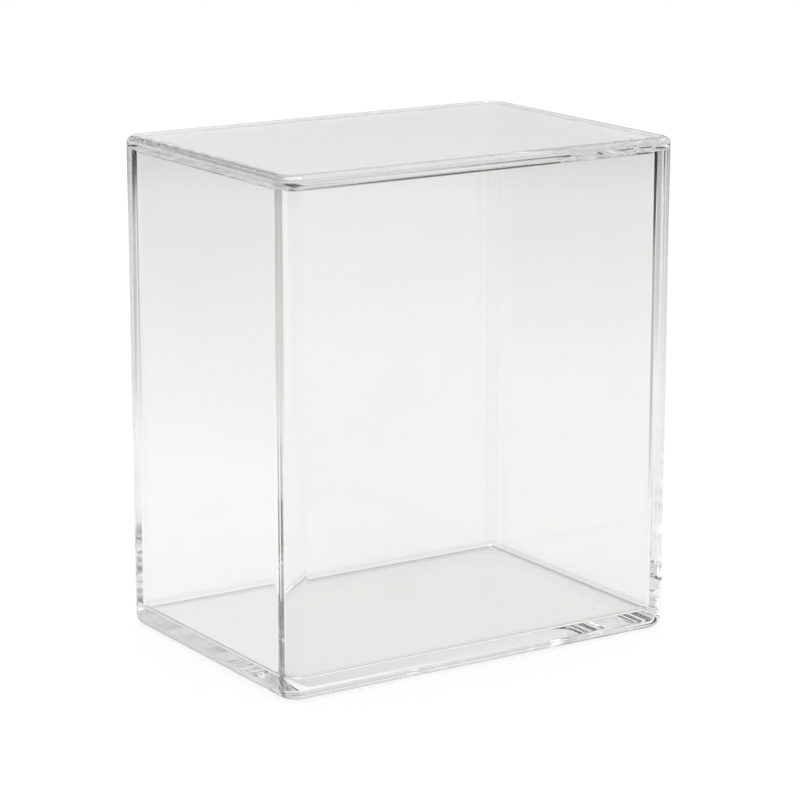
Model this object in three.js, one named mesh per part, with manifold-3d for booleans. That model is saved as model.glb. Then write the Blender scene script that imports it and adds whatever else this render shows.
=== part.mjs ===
// Clear acrylic gift box: a base plate, four cemented wall panels and a lift-off lid.
// Millimetres, +Z up, front towards -Y, origin at the middle of the underside.
import * as THREE from 'three';
import { mergeVertices } from 'three/addons/utils/BufferGeometryUtils.js';
import Module from 'manifold-3d';

// Overall size of the closed box
const BOX_WIDTH = 90;
const BOX_DEPTH = 63;
const BOX_HEIGHT = 100;

// Thickness of each acrylic sheet
const WALL_THICKNESS = 3.2;
const BASE_THICKNESS = 3.6;
const LID_THICKNESS = 2.3;
const LOCATING_PLATE_THICKNESS = 1;

// Roundings that are polished after the sheets are cemented
const CORNER_RADIUS = 4.5;
const BASE_EDGE_RADIUS = 2.5;
const LID_EDGE_RADIUS = 1.5;
const LOCATING_CORNER_RADIUS = 1.5;

// Play on each side between the locating plate and the walls
const LOCATING_CLEARANCE = 0.3;

// Flat strip that a rounding always leaves beside it
const SMALLEST_LAND = 0.25;

// How finely the roundings are faceted
const ARC_DIVISIONS = 8;
const EDGE_STEPS = 6;

// How far a cutting block reaches past the piece that it cuts
const CUT_REACH = 2;

// Vertices nearer than this are one vertex
const WELD_DISTANCE = 1e-5;

// Look of the polished clear sheet
const ACRYLIC_COLOUR = 0xf3f6f7;
const ACRYLIC_ROUGHNESS = 0.05;
const ACRYLIC_OPACITY = 0.3;

// Sizes that follow from the ones above
const INNER_WIDTH = BOX_WIDTH - 2 * WALL_THICKNESS;
const INNER_DEPTH = BOX_DEPTH - 2 * WALL_THICKNESS;
const WALL_HEIGHT = BOX_HEIGHT - BASE_THICKNESS - LID_THICKNESS;
const RIM_HEIGHT = BASE_THICKNESS + WALL_HEIGHT;

const wasm = await Module();
wasm.setup();

// A closed geometry as a solid that can be cut and joined.
function toSolid(geometry) {
  const bare = geometry.clone();
  bare.deleteAttribute('normal');
  bare.deleteAttribute('uv');
  const welded = mergeVertices(bare, WELD_DISTANCE);
  const mesh = new wasm.Mesh({
    numProp: 3,
    vertProperties: new Float32Array(welded.attributes.position.array),
    triVerts: new Uint32Array(welded.index.array),
  });
  return new wasm.Manifold(mesh);
}

// A solid as a geometry again.
function toGeometry(solid) {
  const mesh = solid.getMesh();
  const geometry = new THREE.BufferGeometry();
  geometry.setAttribute('position', new THREE.BufferAttribute(mesh.vertProperties, 3));
  geometry.setIndex(new THREE.BufferAttribute(mesh.triVerts, 1));
  geometry.computeVertexNormals();
  return geometry;
}

// Outline of a rectangle with round corners, centred on the origin.
function roundedRectangle(width, depth, radius) {
  const x = width / 2 - radius;
  const y = depth / 2 - radius;
  const quarter = Math.PI / 2;
  const outline = new THREE.Shape();
  outline.absarc(x, -y, radius, -quarter, 0);
  outline.absarc(x, y, radius, 0, quarter);
  outline.absarc(-x, y, radius, quarter, 2 * quarter);
  outline.absarc(-x, -y, radius, 2 * quarter, 3 * quarter);
  outline.closePath();
  return outline;
}

// Outline of the opening between the walls, with the sharp corners of cemented sheet.
function innerRectangle() {
  const x = INNER_WIDTH / 2;
  const y = INNER_DEPTH / 2;
  const outline = new THREE.Path();
  outline.moveTo(-x, -y);
  outline.lineTo(-x, y);
  outline.lineTo(x, y);
  outline.lineTo(x, -y);
  outline.closePath();
  return outline;
}

// A block between two corners, used to cut.
function block(low, high) {
  const size = high.clone().sub(low);
  const middle = low.clone().add(high).multiplyScalar(0.5);
  const geometry = new THREE.BoxGeometry(size.x, size.y, size.z);
  geometry.translate(middle.x, middle.y, middle.z);
  return toSolid(geometry);
}

// A plate of the box's full outline with one rounded edge all round, standing on or hanging from z = 0.
// The plate is one half of a slab that is rounded on both faces and sawn through its middle.
function edgeRoundedPlate(thickness, edgeRadius, roundedSide) {
  const radius = Math.min(edgeRadius, thickness - SMALLEST_LAND, CORNER_RADIUS - SMALLEST_LAND);
  const halfCore = thickness - radius;
  const slab = new THREE.ExtrudeGeometry(roundedRectangle(BOX_WIDTH, BOX_DEPTH, CORNER_RADIUS), {
    depth: 2 * halfCore,
    bevelThickness: radius,
    bevelSize: radius,
    bevelOffset: -radius,
    bevelSegments: EDGE_STEPS,
    curveSegments: ARC_DIVISIONS,
  });
  slab.translate(0, 0, -halfCore);
  const x = BOX_WIDTH / 2 + CUT_REACH;
  const y = BOX_DEPTH / 2 + CUT_REACH;
  const outerFace = roundedSide * (thickness + CUT_REACH);
  const low = new THREE.Vector3(-x, -y, Math.min(0, outerFace));
  const high = new THREE.Vector3(x, y, Math.max(0, outerFace));
  return toSolid(slab).intersect(block(low, high));
}

// The four walls as one tube, so that their round corners run on across the cemented joints.
function wallTube() {
  const outline = roundedRectangle(BOX_WIDTH, BOX_DEPTH, CORNER_RADIUS);
  outline.holes.push(innerRectangle());
  const tube = new THREE.ExtrudeGeometry(outline, {
    depth: WALL_HEIGHT,
    bevelEnabled: false,
    curveSegments: ARC_DIVISIONS,
  });
  return toSolid(tube);
}

// A panel cut out of the tube between two limits in x and two in y.
function panel(tube, xLimits, yLimits) {
  const low = new THREE.Vector3(xLimits[0], yLimits[0], -CUT_REACH);
  const high = new THREE.Vector3(xLimits[1], yLimits[1], WALL_HEIGHT + CUT_REACH);
  return toGeometry(tube.intersect(block(low, high)));
}

// The front and back walls run the full width, and the side walls are butted between them.
function wallPanels() {
  const tube = wallTube();
  const outerX = BOX_WIDTH / 2 + CUT_REACH;
  const outerY = BOX_DEPTH / 2 + CUT_REACH;
  const innerX = INNER_WIDTH / 2;
  const jointY = INNER_DEPTH / 2;
  const fullWidth = [-outerX, outerX];
  const betweenJoints = [-jointY, jointY];
  return {
    front_wall: panel(tube, fullWidth, [-outerY, -jointY]),
    back_wall: panel(tube, fullWidth, [jointY, outerY]),
    left_wall: panel(tube, [-outerX, -innerX], betweenJoints),
    right_wall: panel(tube, [innerX, outerX], betweenJoints),
  };
}

// The base plate, whose lower edge is rounded all round.
function basePlate() {
  return toGeometry(edgeRoundedPlate(BASE_THICKNESS, BASE_EDGE_RADIUS, -1));
}

// The lid's top plate, whose upper edge is rounded all round.
function lidPlate() {
  return toGeometry(edgeRoundedPlate(LID_THICKNESS, LID_EDGE_RADIUS, 1));
}

// The plate cemented under the lid, which drops between the walls and keeps the lid from sliding off.
function locatingPlate() {
  const width = INNER_WIDTH - 2 * LOCATING_CLEARANCE;
  const depth = INNER_DEPTH - 2 * LOCATING_CLEARANCE;
  return new THREE.ExtrudeGeometry(roundedRectangle(width, depth, LOCATING_CORNER_RADIUS), {
    depth: LOCATING_PLATE_THICKNESS,
    bevelEnabled: false,
    curveSegments: ARC_DIVISIONS,
  });
}

// One named piece of clear sheet at its height above the underside.
function acrylicPiece(name, geometry, height) {
  const material = new THREE.MeshStandardMaterial({
    color: ACRYLIC_COLOUR,
    roughness: ACRYLIC_ROUGHNESS,
    metalness: 0,
    transparent: true,
    opacity: ACRYLIC_OPACITY,
  });
  const piece = new THREE.Mesh(geometry, material);
  piece.name = name;
  piece.position.z = height;
  return piece;
}

// The cemented tray that holds the gift.
function boxBody() {
  const body = new THREE.Group();
  body.add(acrylicPiece('base_plate', basePlate(), BASE_THICKNESS));
  for (const [name, geometry] of Object.entries(wallPanels())) {
    body.add(acrylicPiece(name, geometry, BASE_THICKNESS));
  }
  return body;
}

// The lid, at rest on the rim of the walls.
function liftOffLid() {
  const lid = new THREE.Group();
  lid.position.z = RIM_HEIGHT;
  lid.add(acrylicPiece('lid_plate', lidPlate(), 0));
  lid.add(acrylicPiece('lid_locating_plate', locatingPlate(), -LOCATING_PLATE_THICKNESS));
  return lid;
}

const giftBox = new THREE.Group();
giftBox.add(boxBody());
giftBox.add(liftOffLid());

export default giftBox;
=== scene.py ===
"""Clear acrylic gift box with a lift-off lid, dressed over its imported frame."""

import logging
import math
from dataclasses import dataclass
from enum import IntEnum
from typing import Callable, Sequence

import bpy
from mathutils import Matrix, Vector


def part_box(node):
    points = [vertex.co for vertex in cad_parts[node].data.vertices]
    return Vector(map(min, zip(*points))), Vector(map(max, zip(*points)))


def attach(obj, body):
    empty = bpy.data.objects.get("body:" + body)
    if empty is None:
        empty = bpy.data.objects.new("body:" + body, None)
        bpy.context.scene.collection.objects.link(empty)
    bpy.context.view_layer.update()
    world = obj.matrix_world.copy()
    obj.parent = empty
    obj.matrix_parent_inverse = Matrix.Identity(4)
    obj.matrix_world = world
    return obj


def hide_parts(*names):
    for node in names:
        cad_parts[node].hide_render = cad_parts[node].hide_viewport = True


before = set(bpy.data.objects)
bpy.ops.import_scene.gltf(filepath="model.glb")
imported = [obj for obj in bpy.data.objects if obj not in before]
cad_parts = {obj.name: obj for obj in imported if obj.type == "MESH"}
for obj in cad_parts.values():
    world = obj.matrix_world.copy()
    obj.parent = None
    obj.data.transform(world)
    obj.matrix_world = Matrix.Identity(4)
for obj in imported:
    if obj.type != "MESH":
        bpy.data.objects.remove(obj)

LOG = logging.getLogger("gift_box")

MM = 0.001
UP = Vector((0.0, 0.0, 1.0))
DOWN = Vector((0.0, 0.0, -1.0))

# Facets in a quarter turn, and the fewest in a shorter arc
ARC_STEPS = 24
FEWEST_STEPS = 3

# Smallest radius of a rounded corner, in metres
SMALLEST_RADIUS = 1e-6

# Vertices nearer than a ten-thousandth of a millimetre are one vertex
WELD_PER_METRE = 1e7

Colour = tuple[float, float, float, float]
Station = tuple[float, float, float]
Stops = tuple[tuple[float, float], ...]


class Surface(IntEnum):
    """Finish of a face, in the order of a piece's material slots."""

    POLISHED = 0
    CEMENTED = 1


class Turn(IntEnum):
    """Quarter turns about the upright axis that place a wall."""

    AS_DRAWN = 0
    HALF = 2


# ---------------------------------------------------------------- outlines and skins


@dataclass(frozen=True)
class Corner:
    """One corner of a face: its place, and the way its surface faces there."""

    place: Vector
    facing: Vector


@dataclass(frozen=True)
class RimPoint:
    """A point of a plan outline, and the way the outline faces there."""

    x: float
    y: float
    nx: float
    ny: float

    def at(self, z: float) -> Vector:
        """Give the point at a height."""
        return Vector((self.x, self.y, z))

    def facing(self, tilt: float) -> Vector:
        """Give the outward direction, tilted upwards by an angle in radians."""
        return Vector((self.nx * math.cos(tilt), self.ny * math.cos(tilt), math.sin(tilt)))


def arc(centre: tuple[float, float], radius: float, start: float, end: float,
        hollow: bool = False) -> list[RimPoint]:
    """Lay points along a plan arc.

    Args:
        centre: Middle of the arc.
        radius: Radius of the arc.
        start: First angle in degrees.
        end: Last angle in degrees.
        hollow: True where the material lies outside the arc.

    Returns:
        The points from start to end, with their facing.
    """
    steps = max(FEWEST_STEPS, round(ARC_STEPS * abs(end - start) / 90))
    side = -1.0 if hollow else 1.0
    points = []
    for step in range(steps + 1):
        angle = math.radians(start + (end - start) * step / steps)
        c, s = math.cos(angle), math.sin(angle)
        points.append(RimPoint(centre[0] + radius * c, centre[1] + radius * s, side * c, side * s))
    return points


def straight(start: tuple[float, float], end: tuple[float, float],
             facing: tuple[float, float]) -> list[RimPoint]:
    """Lay the two ends of a straight plan edge.

    Args:
        start: First end.
        end: Last end.
        facing: The way the whole edge faces.

    Returns:
        The two points.
    """
    return [RimPoint(*start, *facing), RimPoint(*end, *facing)]


@dataclass(frozen=True)
class RoundedOutline:
    """A rectangle with round corners, centred on the upright axis."""

    width: float
    depth: float
    radius: float

    def ring(self, inset: float = 0.0) -> list[RimPoint]:
        """Lay the outline's points, moved inwards by an inset.

        Args:
            inset: Distance inside the outline.

        Returns:
            The points, anticlockwise from above.
        """
        radius = max(self.radius - inset, SMALLEST_RADIUS)
        x = self.width / 2 - inset - radius
        y = self.depth / 2 - inset - radius
        points: list[RimPoint] = []
        for sx, sy, start in ((1, -1, -90), (1, 1, 0), (-1, 1, 90), (-1, -1, 180)):
            points += arc((sx * x, sy * y), radius, start, start + 90)
        return points


class Skin:
    """The closed skin of one piece, which keeps the facing of every corner."""

    def __init__(self, name: str) -> None:
        """Start an empty skin.

        Args:
            name: Name of the piece.
        """
        self.name = name
        self.places: list[Vector] = []
        self.known: dict[tuple[int, int, int], int] = {}
        self.faces: list[list[int]] = []
        self.facings: list[Vector] = []
        self.surfaces: list[Surface] = []

    def vertex(self, place: Vector) -> int:
        """Give the number of the vertex at a place, made once.

        Args:
            place: Where the vertex is.

        Returns:
            Its number.
        """
        key = tuple(round(value * WELD_PER_METRE) for value in place)
        if key not in self.known:
            self.known[key] = len(self.places)
            self.places.append(place)
        return self.known[key]

    def face(self, corners: Sequence[Corner], surface: Surface) -> None:
        """Add a face, turned so that it faces the way its corners do.

        Args:
            corners: Its corners in order round the face.
            surface: Its finish.
        """
        kept: list[tuple[int, Vector]] = []
        for corner in corners:
            number = self.vertex(corner.place)
            if number not in [n for n, _ in kept]:
                kept.append((number, corner.facing))
        if len(kept) < 3:
            return
        spin = Vector((0.0, 0.0, 0.0))
        for (a, _), (b, _) in zip(kept, kept[1:] + kept[:1]):
            spin += self.places[a].cross(self.places[b])
        lean = sum((facing for _, facing in kept), Vector((0.0, 0.0, 0.0)))
        if spin.dot(lean) < 0:
            kept.reverse()
        self.faces.append([number for number, _ in kept])
        self.facings += [facing for _, facing in kept]
        self.surfaces.append(surface)

    def strip(self, first: Sequence[Corner], second: Sequence[Corner], surface: Surface) -> None:
        """Join two closed rings of corners by a strip of faces.

        Args:
            first: Corners of one ring.
            second: Corners of the other, in the same order.
            surface: Finish of the strip.
        """
        for k in range(len(first)):
            j = (k + 1) % len(first)
            self.face([first[k], first[j], second[j], second[k]], surface)

    def cap(self, ring: Sequence[RimPoint], z: float, facing: Vector, surface: Surface) -> None:
        """Close a ring with one flat face.

        Args:
            ring: The ring's points.
            z: Height of the face.
            facing: The way it faces.
            surface: Its finish.
        """
        self.face([Corner(point.at(z), facing) for point in ring], surface)

    def sweep(self, outline: RoundedOutline, stations: Sequence[Station],
              surface: Surface) -> None:
        """Carry an outline along an edge profile.

        Args:
            outline: The outline that is carried.
            stations: Inset, height and tilt of the facing, one after the other.
            surface: Finish of the swept faces.
        """
        rings = []
        for inset, z, tilt in stations:
            rings.append([Corner(p.at(z), p.facing(tilt)) for p in outline.ring(inset)])
        for first, second in zip(rings, rings[1:]):
            self.strip(first, second, surface)

    def shelf(self, first: RoundedOutline, second: RoundedOutline, z: float, facing: Vector,
              surface: Surface, insets: tuple[float, float] = (0.0, 0.0)) -> None:
        """Join two outlines at one height by a flat ring.

        Args:
            first: One outline.
            second: The other outline.
            z: Height of the ring.
            facing: The way it faces.
            surface: Its finish.
            insets: How far inside each outline the ring ends.
        """
        rings = [[Corner(p.at(z), facing) for p in outline.ring(inset)]
                 for outline, inset in zip((first, second), insets)]
        self.strip(rings[0], rings[1], surface)

    def finish(self, finishes: Sequence[bpy.types.Material]) -> bpy.types.Object:
        """Make the Blender object.

        Args:
            finishes: Materials in the order of Surface.

        Returns:
            The object, linked to the scene.
        """
        mesh = bpy.data.meshes.new(self.name)
        mesh.from_pydata(self.places, [], self.faces)
        for material in finishes:
            mesh.materials.append(material)
        for polygon, surface in zip(mesh.polygons, self.surfaces):
            polygon.material_index = int(surface)
            polygon.use_smooth = True
        mesh.normals_split_custom_set([facing.normalized() for facing in self.facings])
        mesh.update()
        piece = bpy.data.objects.new(self.name, mesh)
        bpy.context.scene.collection.objects.link(piece)
        return piece


def outer_round(reach: float, drop: float, z: float, side: int) -> list[Station]:
    """Give the stations of a rounded outer edge, from its flat face to its side.

    Args:
        reach: How far the rounding runs in on the flat face.
        drop: How far it runs along the side.
        z: Height of the flat face.
        side: 1 for an upper edge, -1 for a lower edge.

    Returns:
        Inset, height and tilt of each station.
    """
    stations = []
    for step in range(ARC_STEPS + 1):
        angle = math.pi / 2 * step / ARC_STEPS
        c, s = math.cos(angle), math.sin(angle)
        stations.append((reach * (1 - s), z - side * drop * (1 - c),
                         side * math.atan2(c * reach, s * drop)))
    return stations


def hollow_round(radius: float, z: float) -> list[Station]:
    """Give the stations of a hollow bead between a wall and a floor, from the wall down.

    Args:
        radius: Radius of the bead.
        z: Height of the floor.

    Returns:
        Inset, height and tilt of each station.
    """
    stations = []
    for step in range(ARC_STEPS + 1):
        angle = math.pi / 2 * step / ARC_STEPS
        stations.append((radius * (1 - math.cos(angle)), z + radius * (1 - math.sin(angle)),
                         math.pi - angle))
    return stations


# ---------------------------------------------------------------- finishes


class NodeBench:
    """A node tree with short ways to add and join nodes."""

    def __init__(self, tree: bpy.types.NodeTree) -> None:
        """Work on one node tree."""
        self.tree = tree

    def add(self, kind: str, **settings: object) -> bpy.types.Node:
        """Add a node and set its properties.

        Args:
            kind: Node type without the ShaderNode prefix.
            settings: Properties of the node.

        Returns:
            The node.
        """
        prefix = "" if kind.startswith("NodeGroup") else "ShaderNode"
        node = self.tree.nodes.new(prefix + kind)
        for name, value in settings.items():
            setattr(node, name, value)
        return node

    def join(self, source: bpy.types.NodeSocket, target: bpy.types.NodeSocket) -> None:
        """Link an output to an input."""
        self.tree.links.new(source, target)

    def feed(self, node: bpy.types.Node, **values: object) -> bpy.types.Node:
        """Set or link inputs of a node by name, with _ for a space.

        Args:
            node: The node.
            values: Sockets to link, or plain values to set.

        Returns:
            The same node.
        """
        for name, value in values.items():
            socket = node.inputs[name.replace("_", " ")]
            if isinstance(value, bpy.types.NodeSocket):
                self.join(value, socket)
            else:
                socket.default_value = value
        return node

    def maths(self, operation: str, first: object, second: object = 0.0) -> bpy.types.NodeSocket:
        """Put two values through a Math node.

        Args:
            operation: Name of the operation.
            first: Socket or number.
            second: Socket or number.

        Returns:
            The result.
        """
        node = self.add("Math", operation=operation)
        for socket, value in zip(node.inputs, (first, second)):
            if isinstance(value, bpy.types.NodeSocket):
                self.join(value, socket)
            else:
                socket.default_value = value
        return node.outputs[0]

    def span(self, value: bpy.types.NodeSocket, low: float, high: float, to_low: object = 0.0,
             to_high: object = 1.0, smooth: bool = True) -> bpy.types.NodeSocket:
        """Map a value from one span to another.

        Args:
            value: What is mapped.
            low: Start of the span.
            high: End of the span.
            to_low: Result at the start.
            to_high: Result at the end.
            smooth: True for soft ends.

        Returns:
            The mapped value.
        """
        node = self.add("MapRange", interpolation_type="SMOOTHSTEP" if smooth else "LINEAR")
        self.feed(node, Value=value, From_Min=low, From_Max=high, To_Min=to_low, To_Max=to_high)
        return node.outputs["Result"]

    def blend(self, amount: object, first: object, second: object) -> bpy.types.NodeSocket:
        """Mix two colours.

        Args:
            amount: Share of the second colour.
            first: Socket or colour.
            second: Socket or colour.

        Returns:
            The mixed colour.
        """
        node = self.add("Mix", data_type="RGBA")
        for index, value in ((0, amount), (6, first), (7, second)):
            if isinstance(value, bpy.types.NodeSocket):
                self.join(value, node.inputs[index])
            else:
                node.inputs[index].default_value = value
        return node.outputs[2]

    def mixed(self, amount: bpy.types.NodeSocket, first: bpy.types.NodeSocket,
              second: bpy.types.NodeSocket) -> bpy.types.NodeSocket:
        """Mix two values.

        Args:
            amount: Share of the second value.
            first: Value at share 0.
            second: Value at share 1.

        Returns:
            The mixed value.
        """
        node = self.add("Mix", data_type="FLOAT")
        for index, socket in ((0, amount), (2, first), (3, second)):
            self.join(socket, node.inputs[index])
        return node.outputs[0]

    def vector(self, operation: str, first: bpy.types.NodeSocket,
               second: Sequence[float] = (0.0, 0.0, 0.0)) -> bpy.types.NodeSocket:
        """Put a place or direction through a Vector Math node.

        Args:
            operation: Name of the operation.
            first: The place or direction.
            second: What it is worked with, where the operation takes two.

        Returns:
            The result, a number for a length or a dot product.
        """
        node = self.add("VectorMath", operation=operation)
        self.join(first, node.inputs[0])
        node.inputs[1].default_value = second
        return node.outputs["Value" if operation in ("LENGTH", "DOT_PRODUCT") else "Vector"]

    def ramp(self, value: bpy.types.NodeSocket,
             stops: Sequence[tuple[float, Colour]]) -> bpy.types.NodeSocket:
        """Colour a value from 0 to 1 by stops.

        Args:
            value: What is coloured.
            stops: Position and colour of each stop.

        Returns:
            The colour.
        """
        node = self.add("ValToRGB")
        self.join(value, node.inputs[0])
        elements = node.color_ramp.elements
        while len(elements) < len(stops):
            elements.new(0.5)
        for element, (position, colour) in zip(elements, stops):
            element.position = position
            element.color = colour
        return node.outputs["Color"]


Drawing = Callable[[NodeBench, bpy.types.Node, bpy.types.Node], None]


def node_group(name: str, inputs: dict[str, object], outputs: dict[str, str],
               draw: Drawing) -> bpy.types.NodeTree:
    """Build a shader node group once.

    Args:
        name: Name of the group.
        inputs: Name and default of each input, a colour or a number.
        outputs: Name and socket type of each output.
        draw: Fills the group between its input and output nodes.

    Returns:
        The group.
    """
    known = bpy.data.node_groups.get(name)
    if known is not None:
        return known
    group = bpy.data.node_groups.new(name, "ShaderNodeTree")
    for label, default in inputs.items():
        kind = "NodeSocketColor" if isinstance(default, tuple) else "NodeSocketFloat"
        socket = group.interface.new_socket(label, in_out="INPUT", socket_type=kind)
        socket.default_value = default
    for label, kind in outputs.items():
        group.interface.new_socket(label, in_out="OUTPUT", socket_type=kind)
    bench = NodeBench(group)
    draw(bench, bench.add("NodeGroupInput"), bench.add("NodeGroupOutput"))
    return group


# Share of a rubbed line's turn about each axis
LINE_TURN = (0.6, 0.8, 1.0)

# How deep a rubbed line is cut, beside a wave of 1
LINE_DEPTH = 0.02

# Greys of the dried cement between its streaks and in them
CEMENT_GREY: Colour = (0.3, 0.3, 0.3, 1.0)
STREAK_GREY: Colour = (0.4, 0.4, 0.4, 1.0)


def hairlines(bench: NodeBench, place: bpy.types.NodeSocket, turn: float,
              reach: tuple[float, float, float], thin: float) -> bpy.types.NodeSocket:
    """Draw fine rubbed lines along one direction.

    Args:
        bench: Tree to draw in.
        place: Coordinates on the piece.
        turn: Direction of the lines in radians.
        reach: Lines per metre along each axis.
        thin: Share of the noise that counts as a line.

    Returns:
        A mask of the lines.
    """
    mapping = bench.add("Mapping")
    mapping.inputs["Rotation"].default_value = [turn * share for share in LINE_TURN]
    mapping.inputs["Scale"].default_value = reach
    bench.join(place, mapping.inputs["Vector"])
    noise = bench.add("TexNoise")
    bench.feed(noise, Vector=mapping.outputs["Vector"], Scale=1.0, Detail=2.0)
    offset = bench.maths("ABSOLUTE", bench.maths("SUBTRACT", noise.outputs["Fac"], 0.5))
    return bench.span(offset, 0.0, thin, 1.0, 0.0)


def draw_hand_polish(bench: NodeBench, given: bpy.types.Node, result: bpy.types.Node) -> None:
    """Fill the group of a hand-polished sheet: clouding, hairlines and a slow wave.

    Args:
        bench: Tree of the group.
        given: Group input node.
        result: Group output node.
    """
    place = bench.add("TexCoord").outputs["Object"]
    cloud = bench.add("TexNoise")
    bench.feed(cloud, Vector=place, Scale=70.0, Detail=3.0)
    patch = bench.add("TexNoise")
    bench.feed(patch, Vector=place, Scale=28.0, Detail=1.0)
    wave = bench.add("TexNoise")
    bench.feed(wave, Vector=place, Scale=38.0, Detail=0.0)
    lines = bench.maths("MAXIMUM", hairlines(bench, place, 0.5, (900.0, 22.0, 640.0), 0.006),
                        hairlines(bench, place, 2.1, (760.0, 900.0, 18.0), 0.005))
    worn = bench.maths("MULTIPLY", lines, bench.span(patch.outputs["Fac"], 0.5, 0.68))
    colour = bench.blend(bench.span(cloud.outputs["Fac"], 0.35, 0.65),
                         given.outputs["Sheet Colour"], given.outputs["Cloud Colour"])
    haze = bench.maths("MULTIPLY", bench.span(cloud.outputs["Fac"], 0.4, 0.75),
                       given.outputs["Haze"])
    rough = bench.maths("ADD", haze, bench.maths("MULTIPLY", worn, given.outputs["Hairline"]))
    height = bench.maths("SUBTRACT", bench.maths("MULTIPLY", wave.outputs["Fac"],
                                                 given.outputs["Wave"]),
                         bench.maths("MULTIPLY", worn, LINE_DEPTH))
    bench.feed(result, Colour=colour, Roughness=rough, Height=height)


def hand_polish() -> bpy.types.NodeTree:
    """Give the node group of a hand-polished acrylic sheet.

    Returns:
        The group, built once.
    """
    return node_group(
        "hand_polish",
        {"Sheet Colour": (1.0, 1.0, 1.0, 1.0), "Cloud Colour": (1.0, 1.0, 1.0, 1.0),
         "Haze": 0.0, "Hairline": 0.1, "Wave": 1.0},
        {"Colour": "NodeSocketColor", "Roughness": "NodeSocketFloat",
         "Height": "NodeSocketFloat"},
        draw_hand_polish)


def draw_cement_film(bench: NodeBench, given: bpy.types.Node, result: bpy.types.Node) -> None:
    """Fill the group of a cemented joint: clear film, thin streaks and tiny bubbles.

    Args:
        bench: Tree of the group.
        given: Group input node.
        result: Group output node.
    """
    place = bench.add("TexCoord").outputs["Object"]
    cells = bench.add("TexVoronoi")
    bench.feed(cells, Vector=place, Scale=420.0)
    sparse = bench.add("TexNoise")
    bench.feed(sparse, Vector=place, Scale=90.0, Detail=1.0)
    bubble = bench.maths("MULTIPLY", bench.span(cells.outputs["Distance"], 0.05, 0.09, 1.0, 0.0),
                         bench.span(sparse.outputs["Fac"], 0.6, 0.7))
    streak = bench.add("TexNoise")
    bench.feed(streak, Vector=place, Scale=240.0, Detail=2.0)
    film = bench.maths("ADD", given.outputs["Film"],
                       bench.maths("MULTIPLY", bench.span(streak.outputs["Fac"], 0.55, 0.8),
                                   given.outputs["Streaks"]))
    mask = bench.maths("ADD", film, bench.maths("MULTIPLY", bubble, given.outputs["Bubbles"]))
    rough = bench.span(streak.outputs["Fac"], 0.3, 0.7, 0.2, 0.45)
    colour = bench.blend(streak.outputs["Fac"], CEMENT_GREY, STREAK_GREY)
    bench.feed(result, Mask=mask, Roughness=rough, Colour=colour)


def cement_film() -> bpy.types.NodeTree:
    """Give the node group of a cemented joint.

    Returns:
        The group, built once.
    """
    return node_group("cement_film", {"Film": 0.03, "Streaks": 0.02, "Bubbles": 0.3},
                      {"Mask": "NodeSocketFloat", "Roughness": "NodeSocketFloat",
                       "Colour": "NodeSocketColor"}, draw_cement_film)


@dataclass(frozen=True)
class PolishedAcrylic:
    """Clear cast acrylic with hand-polished faces and edges."""

    name: str
    sheet: Colour = (0.957, 0.957, 0.946, 1.0)
    cloud: Colour = (0.95, 0.95, 0.937, 1.0)
    haze: float = 0.0
    hairline: float = 0.06
    wave: float = 0.05
    wave_depth: float = 0.02 * MM
    refraction: float = 1.49

    def material(self) -> bpy.types.Material:
        """Build the material.

        Returns:
            The clear material, with its polish from the shared group.
        """
        material = bpy.data.materials.new(self.name)
        material.use_nodes = True
        bench = NodeBench(material.node_tree)
        polish = bench.add("Group", node_tree=hand_polish())
        bench.feed(polish, Sheet_Colour=self.sheet, Cloud_Colour=self.cloud, Haze=self.haze,
                   Hairline=self.hairline, Wave=self.wave)
        bump = bench.add("Bump")
        bench.feed(bump, Strength=1.0, Distance=self.wave_depth,
                   Height=polish.outputs["Height"])
        shader = material.node_tree.nodes["Principled BSDF"]
        bench.feed(shader, Base_Color=polish.outputs["Colour"],
                   Roughness=polish.outputs["Roughness"], Normal=bump.outputs["Normal"],
                   Transmission_Weight=1.0, IOR=self.refraction)
        return material


@dataclass(frozen=True)
class CementFilm:
    """Solvent cement in a joint, which takes the joint's faces out of sight."""

    name: str
    film: float = 0.03
    streaks: float = 0.015
    bubbles: float = 0.1

    def material(self) -> bpy.types.Material:
        """Build the material.

        Returns:
            A film that shows only its streaks and bubbles.
        """
        material = bpy.data.materials.new(self.name)
        material.use_nodes = True
        bench = NodeBench(material.node_tree)
        film = bench.add("Group", node_tree=cement_film())
        bench.feed(film, Film=self.film, Streaks=self.streaks, Bubbles=self.bubbles)
        shader = material.node_tree.nodes["Principled BSDF"]
        bench.feed(shader, Base_Color=film.outputs["Colour"], Alpha=film.outputs["Mask"],
                   Roughness=film.outputs["Roughness"])
        return material


# ---------------------------------------------------------------- sub-assemblies


@dataclass(frozen=True)
class SheetSizes:
    """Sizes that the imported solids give, in metres."""

    width: float
    depth: float
    height: float
    wall: float
    floor: float
    rim: float
    plate_width: float
    plate_depth: float
    plate_under: float

    @classmethod
    def from_frame(cls) -> "SheetSizes":
        """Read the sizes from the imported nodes.

        Returns:
            The sizes.
        """
        lid_low, lid_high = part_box("lid_plate")
        wall_low, wall_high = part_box("left_wall")
        plate_low, plate_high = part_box("lid_locating_plate")
        return cls(width=lid_high.x - lid_low.x, depth=lid_high.y - lid_low.y,
                   height=lid_high.z, wall=wall_high.x - wall_low.x,
                   floor=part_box("base_plate")[1].z, rim=lid_low.z,
                   plate_width=plate_high.x - plate_low.x,
                   plate_depth=plate_high.y - plate_low.y, plate_under=plate_low.z)

    @property
    def inner_width(self) -> float:
        """Width between the side walls."""
        return self.width - 2 * self.wall

    @property
    def inner_depth(self) -> float:
        """Depth between the front and back walls."""
        return self.depth - 2 * self.wall


@dataclass(frozen=True)
class PlanRun:
    """A run of a wall's plan outline, with its finish above and below the floor bead's top."""

    points: list[RimPoint]
    above: Surface
    below: Surface


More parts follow.
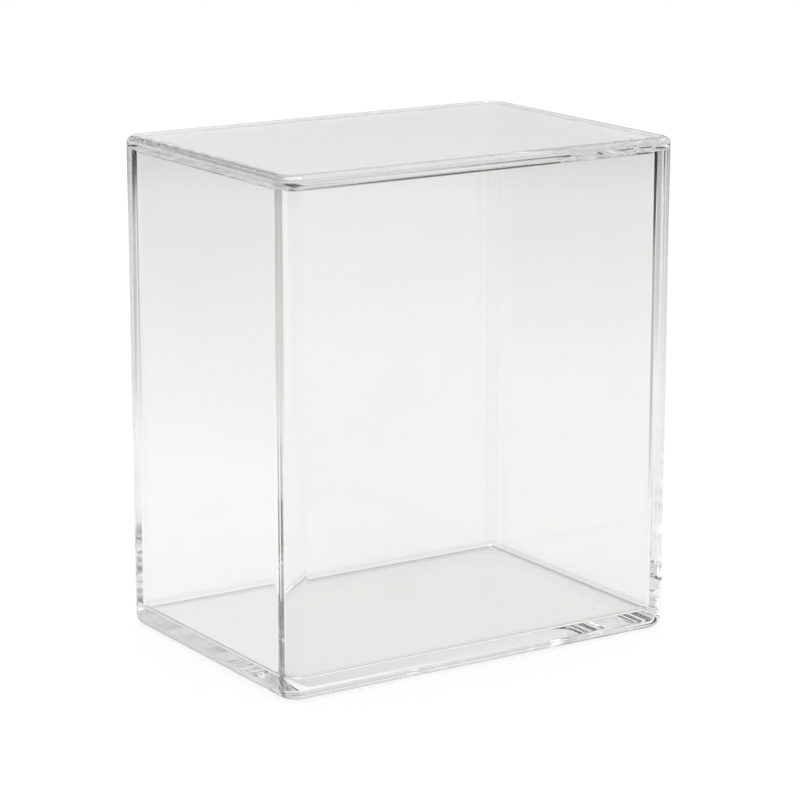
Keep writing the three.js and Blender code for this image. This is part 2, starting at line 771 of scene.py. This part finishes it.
@dataclass
class BoxBody:
    """The cemented tray: a base plate and four walls."""

    sizes: SheetSizes
    corner_radius: float = 4.5 * MM
    base_edge: float = 2.5 * MM
    corner_bead: float = 2.1 * MM
    floor_bead: float = 1.3 * MM
    rim_gap: float = 0.12 * MM
    body: str = "box_body"
    slot: str = "clear_acrylic"

    def outer(self) -> RoundedOutline:
        """Give the outer outline of the box."""
        return RoundedOutline(self.sizes.width, self.sizes.depth, self.corner_radius)

    def inner(self) -> RoundedOutline:
        """Give the outline of the space inside, with its cement beads."""
        return RoundedOutline(self.sizes.inner_width, self.sizes.inner_depth, self.corner_bead)

    def base_skin(self) -> Skin:
        """Build the base plate: rounded lower edge, joint under the walls, bead and floor.

        Returns:
            The skin of the base plate.
        """
        skin = Skin("base_plate_clear")
        floor, bead, edge = self.sizes.floor, self.floor_bead, self.base_edge
        skin.cap(self.outer().ring(edge), 0.0, DOWN, Surface.POLISHED)
        skin.sweep(self.outer(), outer_round(edge, edge, 0.0, -1), Surface.POLISHED)
        skin.sweep(self.outer(), [(0.0, edge, 0.0), (0.0, floor, 0.0)], Surface.POLISHED)
        skin.shelf(self.outer(), self.inner(), floor, UP, Surface.CEMENTED)
        skin.sweep(self.inner(), [(0.0, floor, 0.0), (0.0, floor + bead, 0.0)], Surface.CEMENTED)
        skin.sweep(self.inner(), hollow_round(bead, floor), Surface.POLISHED)
        skin.cap(self.inner().ring(bead), floor, UP, Surface.POLISHED)
        return skin

    def joint_angle(self) -> float:
        """Give the angle, in degrees, at which the outer corner crosses a wall joint."""
        return math.degrees(math.asin((self.corner_radius - self.sizes.wall) / self.corner_radius))

    def long_wall_runs(self) -> list[PlanRun]:
        """Draw the plan of the front wall, anticlockwise from above.

        Returns:
            Its runs.
        """
        s, r, lean = self.sizes, self.corner_radius, self.joint_angle()
        x, outside, inside = s.width / 2 - r, -s.depth / 2, -s.depth / 2 + s.wall
        joint = x + r * math.cos(math.radians(lean))
        clear = s.inner_width / 2 - self.corner_bead
        in_way = (0.0, 1.0)
        polished, cemented = Surface.POLISHED, Surface.CEMENTED
        return [
            PlanRun(straight((-x, outside), (x, outside), (0.0, -1.0)), polished, polished),
            PlanRun(arc((x, outside + r), r, -90, -lean), polished, polished),
            PlanRun(straight((joint, inside), (clear, inside), in_way), cemented, cemented),
            PlanRun(straight((clear, inside), (-clear, inside), in_way), polished, cemented),
            PlanRun(straight((-clear, inside), (-joint, inside), in_way), cemented, cemented),
            PlanRun(arc((-x, outside + r), r, 180 + lean, 270), polished, polished),
        ]

    def short_wall_runs(self) -> list[PlanRun]:
        """Draw the plan of the left wall with its corner beads, anticlockwise from above.

        Returns:
            Its runs.
        """
        s, r, lean = self.sizes, self.corner_radius, self.joint_angle()
        x, y = s.width / 2 - r, s.depth / 2 - r
        joint = x + r * math.cos(math.radians(lean))
        end, face, bead = s.inner_depth / 2, -s.inner_width / 2, self.corner_bead
        polished, cemented = Surface.POLISHED, Surface.CEMENTED
        return [
            PlanRun(straight((-joint, -end), (face + bead, -end), (0.0, -1.0)), cemented, cemented),
            PlanRun(arc((face + bead, bead - end), bead, 270, 180, True), polished, cemented),
            PlanRun(straight((face, bead - end), (face, end - bead), (1.0, 0.0)),
                    polished, cemented),
            PlanRun(arc((face + bead, end - bead), bead, 180, 90, True), polished, cemented),
            PlanRun(straight((face + bead, end), (-joint, end), (0.0, 1.0)), cemented, cemented),
            PlanRun(arc((-x, y), r, 180 - lean, 180), polished, polished),
            PlanRun(straight((-x - r, y), (-x - r, -y), (-1.0, 0.0)), polished, polished),
            PlanRun(arc((-x, -y), r, 180, 180 + lean), polished, polished),
        ]

    def wall_skin(self, name: str, runs: Sequence[PlanRun], turn: Turn) -> Skin:
        """Raise a wall from its plan.

        Args:
            name: Name of the piece.
            runs: Runs of the plan.
            turn: Where the wall stands.

        Returns:
            The skin of the wall.
        """
        skin = Skin(name)
        side = -1.0 if turn is Turn.HALF else 1.0
        low = self.sizes.floor
        bead = low + self.floor_bead
        rim = self.sizes.rim - self.rim_gap
        plan: list[RimPoint] = []
        for run in runs:
            points = [RimPoint(side * p.x, side * p.y, side * p.nx, side * p.ny)
                      for p in run.points]
            plan += points
            for first, second in zip(points, points[1:]):
                for z0, z1, surface in ((low, bead, run.below), (bead, rim, run.above)):
                    skin.face([Corner(first.at(z0), first.facing(0.0)),
                               Corner(second.at(z0), second.facing(0.0)),
                               Corner(second.at(z1), second.facing(0.0)),
                               Corner(first.at(z1), first.facing(0.0))], surface)
        skin.cap(plan, low, DOWN, Surface.CEMENTED)
        skin.cap(plan, rim, UP, Surface.POLISHED)
        return skin

    def build(self) -> list[bpy.types.Object]:
        """Build and dress the tray.

        Returns:
            Its five pieces.
        """
        base = PolishedAcrylic("acrylic_base_plate", wave=0.06).material()
        # Painted shade: the front wall's sheet is tinted darker than the other walls'
        front = PolishedAcrylic("acrylic_front_wall_painted_shade", sheet=(0.932, 0.932, 0.921, 1.0),
                                cloud=(0.924, 0.924, 0.911, 1.0)).material()
        sheet = PolishedAcrylic("acrylic_wall_sheet").material()
        joint = CementFilm("cement_wall_joints").material()
        skins = {
            "base_plate": (self.base_skin(), base),
            "front_wall": (self.wall_skin("front_wall_clear", self.long_wall_runs(),
                                          Turn.AS_DRAWN), front),
            "back_wall": (self.wall_skin("back_wall_clear", self.long_wall_runs(),
                                         Turn.HALF), sheet),
            "left_wall": (self.wall_skin("left_wall_clear", self.short_wall_runs(),
                                         Turn.AS_DRAWN), sheet),
            "right_wall": (self.wall_skin("right_wall_clear", self.short_wall_runs(),
                                          Turn.HALF), sheet),
        }
        return [seat(skin.finish((finish, joint)), node, self.body)
                for node, (skin, finish) in skins.items()]


@dataclass
class LiftOffLid:
    """The lid: a flush top plate with a locating plate cemented under it."""

    sizes: SheetSizes
    corner_radius: float = 4.5 * MM
    upper_edge: float = 1.35 * MM
    upper_reach: float = 2.0 * MM
    lower_edge: float = 0.2 * MM
    plate_radius: float = 2.0 * MM
    plate_edge: float = 0.2 * MM
    body: str = "lid"
    slot: str = "clear_acrylic"

    def outer(self) -> RoundedOutline:
        """Give the outer outline of the lid."""
        return RoundedOutline(self.sizes.width, self.sizes.depth, self.corner_radius)

    def plate(self) -> RoundedOutline:
        """Give the outline of the locating plate."""
        return RoundedOutline(self.sizes.plate_width, self.sizes.plate_depth, self.plate_radius)

    def top_skin(self) -> Skin:
        """Build the top plate: joint, underside, eased lower edge, side and rounded upper edge.

        Returns:
            The skin of the top plate.
        """
        skin = Skin("lid_plate_clear")
        rim, top, ease = self.sizes.rim, self.sizes.height, self.lower_edge
        skin.cap(self.plate().ring(), rim, DOWN, Surface.CEMENTED)
        skin.shelf(self.plate(), self.outer(), rim, DOWN, Surface.POLISHED, (0.0, ease))
        skin.sweep(self.outer(), outer_round(ease, ease, rim, -1), Surface.POLISHED)
        skin.sweep(self.outer(), [(0.0, rim + ease, 0.0), (0.0, top - self.upper_edge, 0.0)],
                   Surface.POLISHED)
        skin.sweep(self.outer(), outer_round(self.upper_reach, self.upper_edge, top, 1),
                   Surface.POLISHED)
        skin.cap(self.outer().ring(self.upper_reach), top, UP, Surface.POLISHED)
        return skin

    def plate_skin(self) -> Skin:
        """Build the locating plate: joint, side, eased lower edge and underside.

        Returns:
            The skin of the locating plate.
        """
        skin = Skin("lid_locating_plate_clear")
        rim, under, ease = self.sizes.rim, self.sizes.plate_under, self.plate_edge
        skin.cap(self.plate().ring(), rim, UP, Surface.CEMENTED)
        skin.sweep(self.plate(), [(0.0, rim, 0.0), (0.0, under + ease, 0.0)], Surface.POLISHED)
        skin.sweep(self.plate(), outer_round(ease, ease, under, -1), Surface.POLISHED)
        skin.cap(self.plate().ring(ease), under, DOWN, Surface.POLISHED)
        return skin

    def build(self) -> list[bpy.types.Object]:
        """Build and dress the lid.

        Returns:
            Its two pieces.
        """
        # Painted light: the lid's sheet is tinted lighter than the walls'
        sheet = PolishedAcrylic("acrylic_lid_plate_painted_light", sheet=(0.975, 0.975, 0.967, 1.0),
                                cloud=(0.969, 0.969, 0.96, 1.0), hairline=0.01,
                                wave=0.002).material()
        joint = CementFilm("cement_lid_joint", film=0.002, streaks=0.004, bubbles=0.03).material()
        return [seat(self.top_skin().finish((sheet, joint)), "lid_plate", self.body),
                seat(self.plate_skin().finish((sheet, joint)), "lid_locating_plate", self.body)]


def seat(piece: bpy.types.Object, node: str, body: str) -> bpy.types.Object:
    """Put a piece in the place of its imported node.

    Args:
        piece: The dressed piece.
        node: Node that it replaces.
        body: Body that it rides on.

    Returns:
        The piece.
    """
    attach(piece, body)
    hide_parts(node)
    LOG.info("%s stands for %s on %s, %d faces", piece.name, node, body, len(piece.data.polygons))
    return piece


# ---------------------------------------------------------------- studio


def grey(level: float) -> Colour:
    """Give an even grey."""
    return (level, level, level, 1.0)


WHITE: Colour = grey(1.0)
DIM_BLUE: Colour = (0.024, 0.028, 0.045, 1.0)

# The room as clear sheet mirrors it: sine of the elevation, and colour
ROOM_STOPS = ((0.0, grey(0.9)), (0.31, grey(0.85)), (0.34, DIM_BLUE), (0.5, DIM_BLUE),
              (0.52, grey(1.0)), (0.6, grey(1.0)), (0.62, DIM_BLUE), (0.67, DIM_BLUE),
              (0.69, grey(1.0)))

# The same on the side where the back lamp stands
BACK_LAMP_STOPS = ((0.0, grey(0.05)), (0.09, grey(0.05)), (0.13, grey(0.85)), (0.31, grey(0.85)),
                   (0.36, grey(0.5)), (0.5, grey(0.5)), (0.55, grey(1.0)))

# The room as it shows straight through clear sheet
BEYOND: Colour = grey(0.88)

# Drops the height of a place or direction
LEVEL = (1.0, 1.0, 0.0)


@dataclass(frozen=True)
class RoomSide:
    """A side of the room, and how the painted light on its table fades with the distance from the
    box.
    """

    way: float
    half: float
    fades: Stops = ()
    core: float = 0.8
    edge: float = 1.2

    def mask(self, bench: NodeBench, place: bpy.types.NodeSocket) -> bpy.types.NodeSocket:
        """Mask the places on this side.

        Args:
            bench: Tree to draw in.
            place: Place, seen from the middle of the table.

        Returns:
            1 on this side and 0 elsewhere.
        """
        unit = bench.vector("NORMALIZE", bench.vector("MULTIPLY", place, LEVEL))
        angle = math.radians(self.way)
        lean = bench.vector("DOT_PRODUCT", unit, (math.cos(angle), math.sin(angle), 0.0))
        edge = math.cos(math.radians(self.half * self.edge))
        core = math.cos(math.radians(self.half * self.core))
        return bench.span(lean, edge, core)


@dataclass
class Studio:
    """A pale table in a softly lit room with dim sides."""

    sizes: SheetSizes
    table_half: float = 3.0
    table_drop: float = 0.1 * MM
    # Painted shade: the table seen through the box is dimmed behind it
    behind: RoomSide = RoomSide(54.0, 17.0, ((0.0, 0.985), (0.27, 0.965), (0.45, 0.89),
                                             (0.74, 0.86)))
    lamp_side: RoomSide = RoomSide(47.0, 17.0)
    # Painted contact shadow on the table under the box's rounded lower edge: its depth, inset, core
    # and soft width
    edge_shade: float = 0.5
    edge_inset: float = 0.9 * MM
    edge_core: float = 0.4 * MM
    edge_soft: float = 2.2 * MM
    shadow_share: float = 0.12
    cloth: Colour = grey(0.9)
    lamp_size: float = 0.9
    lamp_height: float = 1.1
    lamp_watts: float = 9.0
    bounces: int = 64
    # Painted pool of light: the table as clear sheet mirrors it fades to dark with the distance
    # from the box, sooner on some sides
    even: Stops = ((0.0, 1.0), (0.3, 0.97), (0.56, 0.95), (0.64, 0.05))
    sides: tuple[RoomSide, ...] = (
        RoomSide(0.0, 32.0, ((0.14, 1.0), (0.19, 0.7), (0.25, 0.58), (0.43, 0.45), (0.52, 0.03))),
        RoomSide(120.0, 30.0, ((0.18, 1.0), (0.26, 0.72), (0.4, 0.55), (0.56, 0.5), (0.64, 0.05))),
        RoomSide(57.0, 32.0, ((0.0, 1.0), (0.5, 0.95), (0.58, 0.05))))

    def fade(self, bench: NodeBench, away: bpy.types.NodeSocket,
             stops: Stops) -> bpy.types.NodeSocket:
        """Fade a painted light level with the distance from the box.

        Args:
            bench: Tree to draw in.
            away: Distance in metres.
            stops: Distance and level of each stop.

        Returns:
            The level.
        """
        return bench.ramp(away, [(reach, grey(level)) for reach, level in stops])

    def table_finish(self) -> bpy.types.Material:
        """Make the pale table, which glows with painted light whose level depends on how it is
        seen.

        The camera sees it evenly white. Through clear sheet it shows painted shade, a little dimmer
        behind the box, and where clear sheet mirrors it, a painted pool of light that fades with
        the distance from the box.

        Returns:
            The table's material.
        """
        material = bpy.data.materials.new("pale_table")
        material.use_nodes = True
        bench = NodeBench(material.node_tree)
        material.node_tree.nodes.clear()
        path = bench.add("LightPath").outputs
        place = bench.add("NewGeometry").outputs["Position"]
        flat = bench.vector("MULTIPLY", place, LEVEL)
        away = bench.vector("LENGTH", flat)
        # Painted pool of light on the table where clear sheet mirrors it
        mirrored = self.fade(bench, away, self.even)
        for side in self.sides:
            mirrored = bench.mixed(side.mask(bench, place), mirrored,
                                   self.fade(bench, away, side.fades))
        # Painted shade behind the box where the table is seen through clear sheet
        dimmed = bench.maths("SUBTRACT", 1.0, self.fade(bench, away, self.behind.fades))
        through = bench.maths("SUBTRACT", 1.0, bench.maths(
            "MULTIPLY", self.behind.mask(bench, place), dimmed))
        bounced = bench.maths("GREATER_THAN", path["Glossy Depth"], 0.5)
        # The painted contact shadow darkens what clear sheet shows of the table under the box's
        # lower edge
        beyond = bench.maths("MULTIPLY", bench.mixed(bounced, through, mirrored),
                             self.painted_contact_shadow(bench, flat))
        level = bench.maths("MAXIMUM", path["Is Camera Ray"], beyond)
        glow = bench.feed(bench.add("Emission"), Color=level, Strength=1.0)
        cloth = bench.feed(bench.add("BsdfDiffuse"), Color=self.cloth)
        seen = bench.maths("MAXIMUM", path["Is Camera Ray"],
                           bench.maths("MAXIMUM", path["Is Glossy Ray"],
                                       path["Is Transmission Ray"]))
        shaded = bench.maths("MULTIPLY", bench.maths("SUBTRACT", 1.0, bounced), self.shadow_share)
        share = bench.maths("SUBTRACT", 1.0, shaded)
        mix = bench.add("MixShader")
        bench.join(bench.maths("MULTIPLY", seen, share), mix.inputs[0])
        bench.join(cloth.outputs[0], mix.inputs[1])
        bench.join(glow.outputs[0], mix.inputs[2])
        bench.join(mix.outputs[0], bench.add("OutputMaterial").inputs["Surface"])
        return material

    def painted_contact_shadow(self, bench: NodeBench, place: bpy.types.NodeSocket) -> bpy.types.NodeSocket:
        """Paint a contact shadow on the strip of table that lies under the box's rounded lower
        edge.

        Args:
            bench: Tree to draw in.
            place: Place on the table.

        Returns:
            1 away from the edge, and less under it.
        """
        half = (self.sizes.width / 2, self.sizes.depth / 2, 0.0)
        parts = bench.add("SeparateXYZ")
        bench.join(bench.vector("SUBTRACT", bench.vector("ABSOLUTE", place), half),
                   parts.inputs[0])
        side = bench.maths("MAXIMUM", parts.outputs["X"], parts.outputs["Y"])
        middle = bench.maths("ABSOLUTE", bench.maths("ADD", side, self.edge_inset))
        return bench.span(middle, self.edge_core, self.edge_soft, self.edge_shade, 1.0)

    def table(self) -> bpy.types.Object:
        """Lay the table just under the box.

        Returns:
            The table.
        """
        half, z = self.table_half, -self.table_drop
        mesh = bpy.data.meshes.new("table")
        mesh.from_pydata([(-half, -half, z), (half, -half, z), (half, half, z), (-half, half, z)],
                         [], [(0, 1, 2, 3)])
        mesh.materials.append(self.table_finish())
        table = bpy.data.objects.new("table", mesh)
        bpy.context.scene.collection.objects.link(table)
        return table

    def sky(self) -> None:
        """Surround the table with soft light, in which clear sheet mirrors a few dim bands."""
        world = bpy.data.worlds.new("soft_room")
        bpy.context.scene.world = world
        world.use_nodes = True
        bench = NodeBench(world.node_tree)
        world.node_tree.nodes.clear()
        path = bench.add("LightPath").outputs
        way = bench.add("TexCoord").outputs["Generated"]
        parts = bench.add("SeparateXYZ")
        bench.join(way, parts.inputs[0])
        height = parts.outputs["Z"]
        room = bench.blend(self.lamp_side.mask(bench, way), bench.ramp(height, ROOM_STOPS),
                           bench.ramp(height, BACK_LAMP_STOPS))
        bounced = bench.maths("GREATER_THAN", path["Glossy Depth"], 0.5)
        around = bench.blend(bounced, BEYOND, room)
        colour = bench.blend(path["Is Camera Ray"], around, WHITE)
        back = bench.feed(bench.add("Background"), Color=colour, Strength=1.0)
        bench.join(back.outputs[0], bench.add("OutputWorld").inputs["Surface"])

    def lamps(self) -> None:
        """Hang one large soft lamp over the box."""
        lamp = bpy.data.lights.new("overhead_softbox", "AREA")
        lamp.shape = "SQUARE"
        lamp.size = self.lamp_size
        lamp.energy = self.lamp_watts
        holder = bpy.data.objects.new("overhead_softbox", lamp)
        holder.location = (0.0, 0.0, self.lamp_height)
        bpy.context.scene.collection.objects.link(holder)

    def light_paths(self) -> None:
        """Let light cross the many clear faces of the box."""
        cycles = bpy.context.scene.cycles
        cycles.max_bounces = self.bounces
        cycles.transmission_bounces = self.bounces
        cycles.glossy_bounces = self.bounces
        cycles.transparent_max_bounces = self.bounces

    def build(self) -> None:
        """Set the stage."""
        self.table()
        self.sky()
        self.lamps()
        self.light_paths()


@dataclass(frozen=True)
class PhotoCamera:
    """Camera at the photograph's viewing angle, for a square picture."""

    azimuth: float = -33.019
    elevation: float = 13.511
    distance: float = 625.886 * MM
    lens: float = 141.41916
    aside: float = -0.330 * MM
    above: float = 3.178 * MM
    sensor: float = 36.0
    near: float = 0.01

    def build(self, centre: Vector) -> bpy.types.Object:
        """Set the camera up.

        Args:
            centre: Middle of the box.

        Returns:
            The camera.
        """
        a, e = math.radians(self.azimuth), math.radians(self.elevation)
        back = Vector((math.sin(a) * math.cos(e), -math.cos(a) * math.cos(e), math.sin(e)))
        right = UP.cross(back).normalized()
        above = back.cross(right)
        eye = centre + back * self.distance - right * self.aside - above * self.above
        data = bpy.data.cameras.new("photo_camera")
        data.sensor_width = self.sensor
        data.lens = self.lens
        data.clip_start = self.near
        camera = bpy.data.objects.new("photo_camera", data)
        camera.matrix_world = Matrix((
            (right.x, above.x, back.x, eye.x),
            (right.y, above.y, back.y, eye.y),
            (right.z, above.z, back.z, eye.z),
            (0.0, 0.0, 0.0, 1.0)))
        bpy.context.scene.collection.objects.link(camera)
        bpy.context.scene.camera = camera
        return camera


def main() -> None:
    """Build the studio, the tray and the lid in order."""
    logging.basicConfig(level=logging.INFO, format="%(name)s: %(message)s")
    bpy.context.scene.view_settings.view_transform = "Standard"
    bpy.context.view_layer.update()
    sizes = SheetSizes.from_frame()
    PhotoCamera().build(Vector((0.0, 0.0, sizes.height / 2)))
    Studio(sizes).build()
    pieces = BoxBody(sizes).build() + LiftOffLid(sizes).build()
    LOG.info("%d pieces in place", len(pieces))


if __name__ == "__main__":
    main()
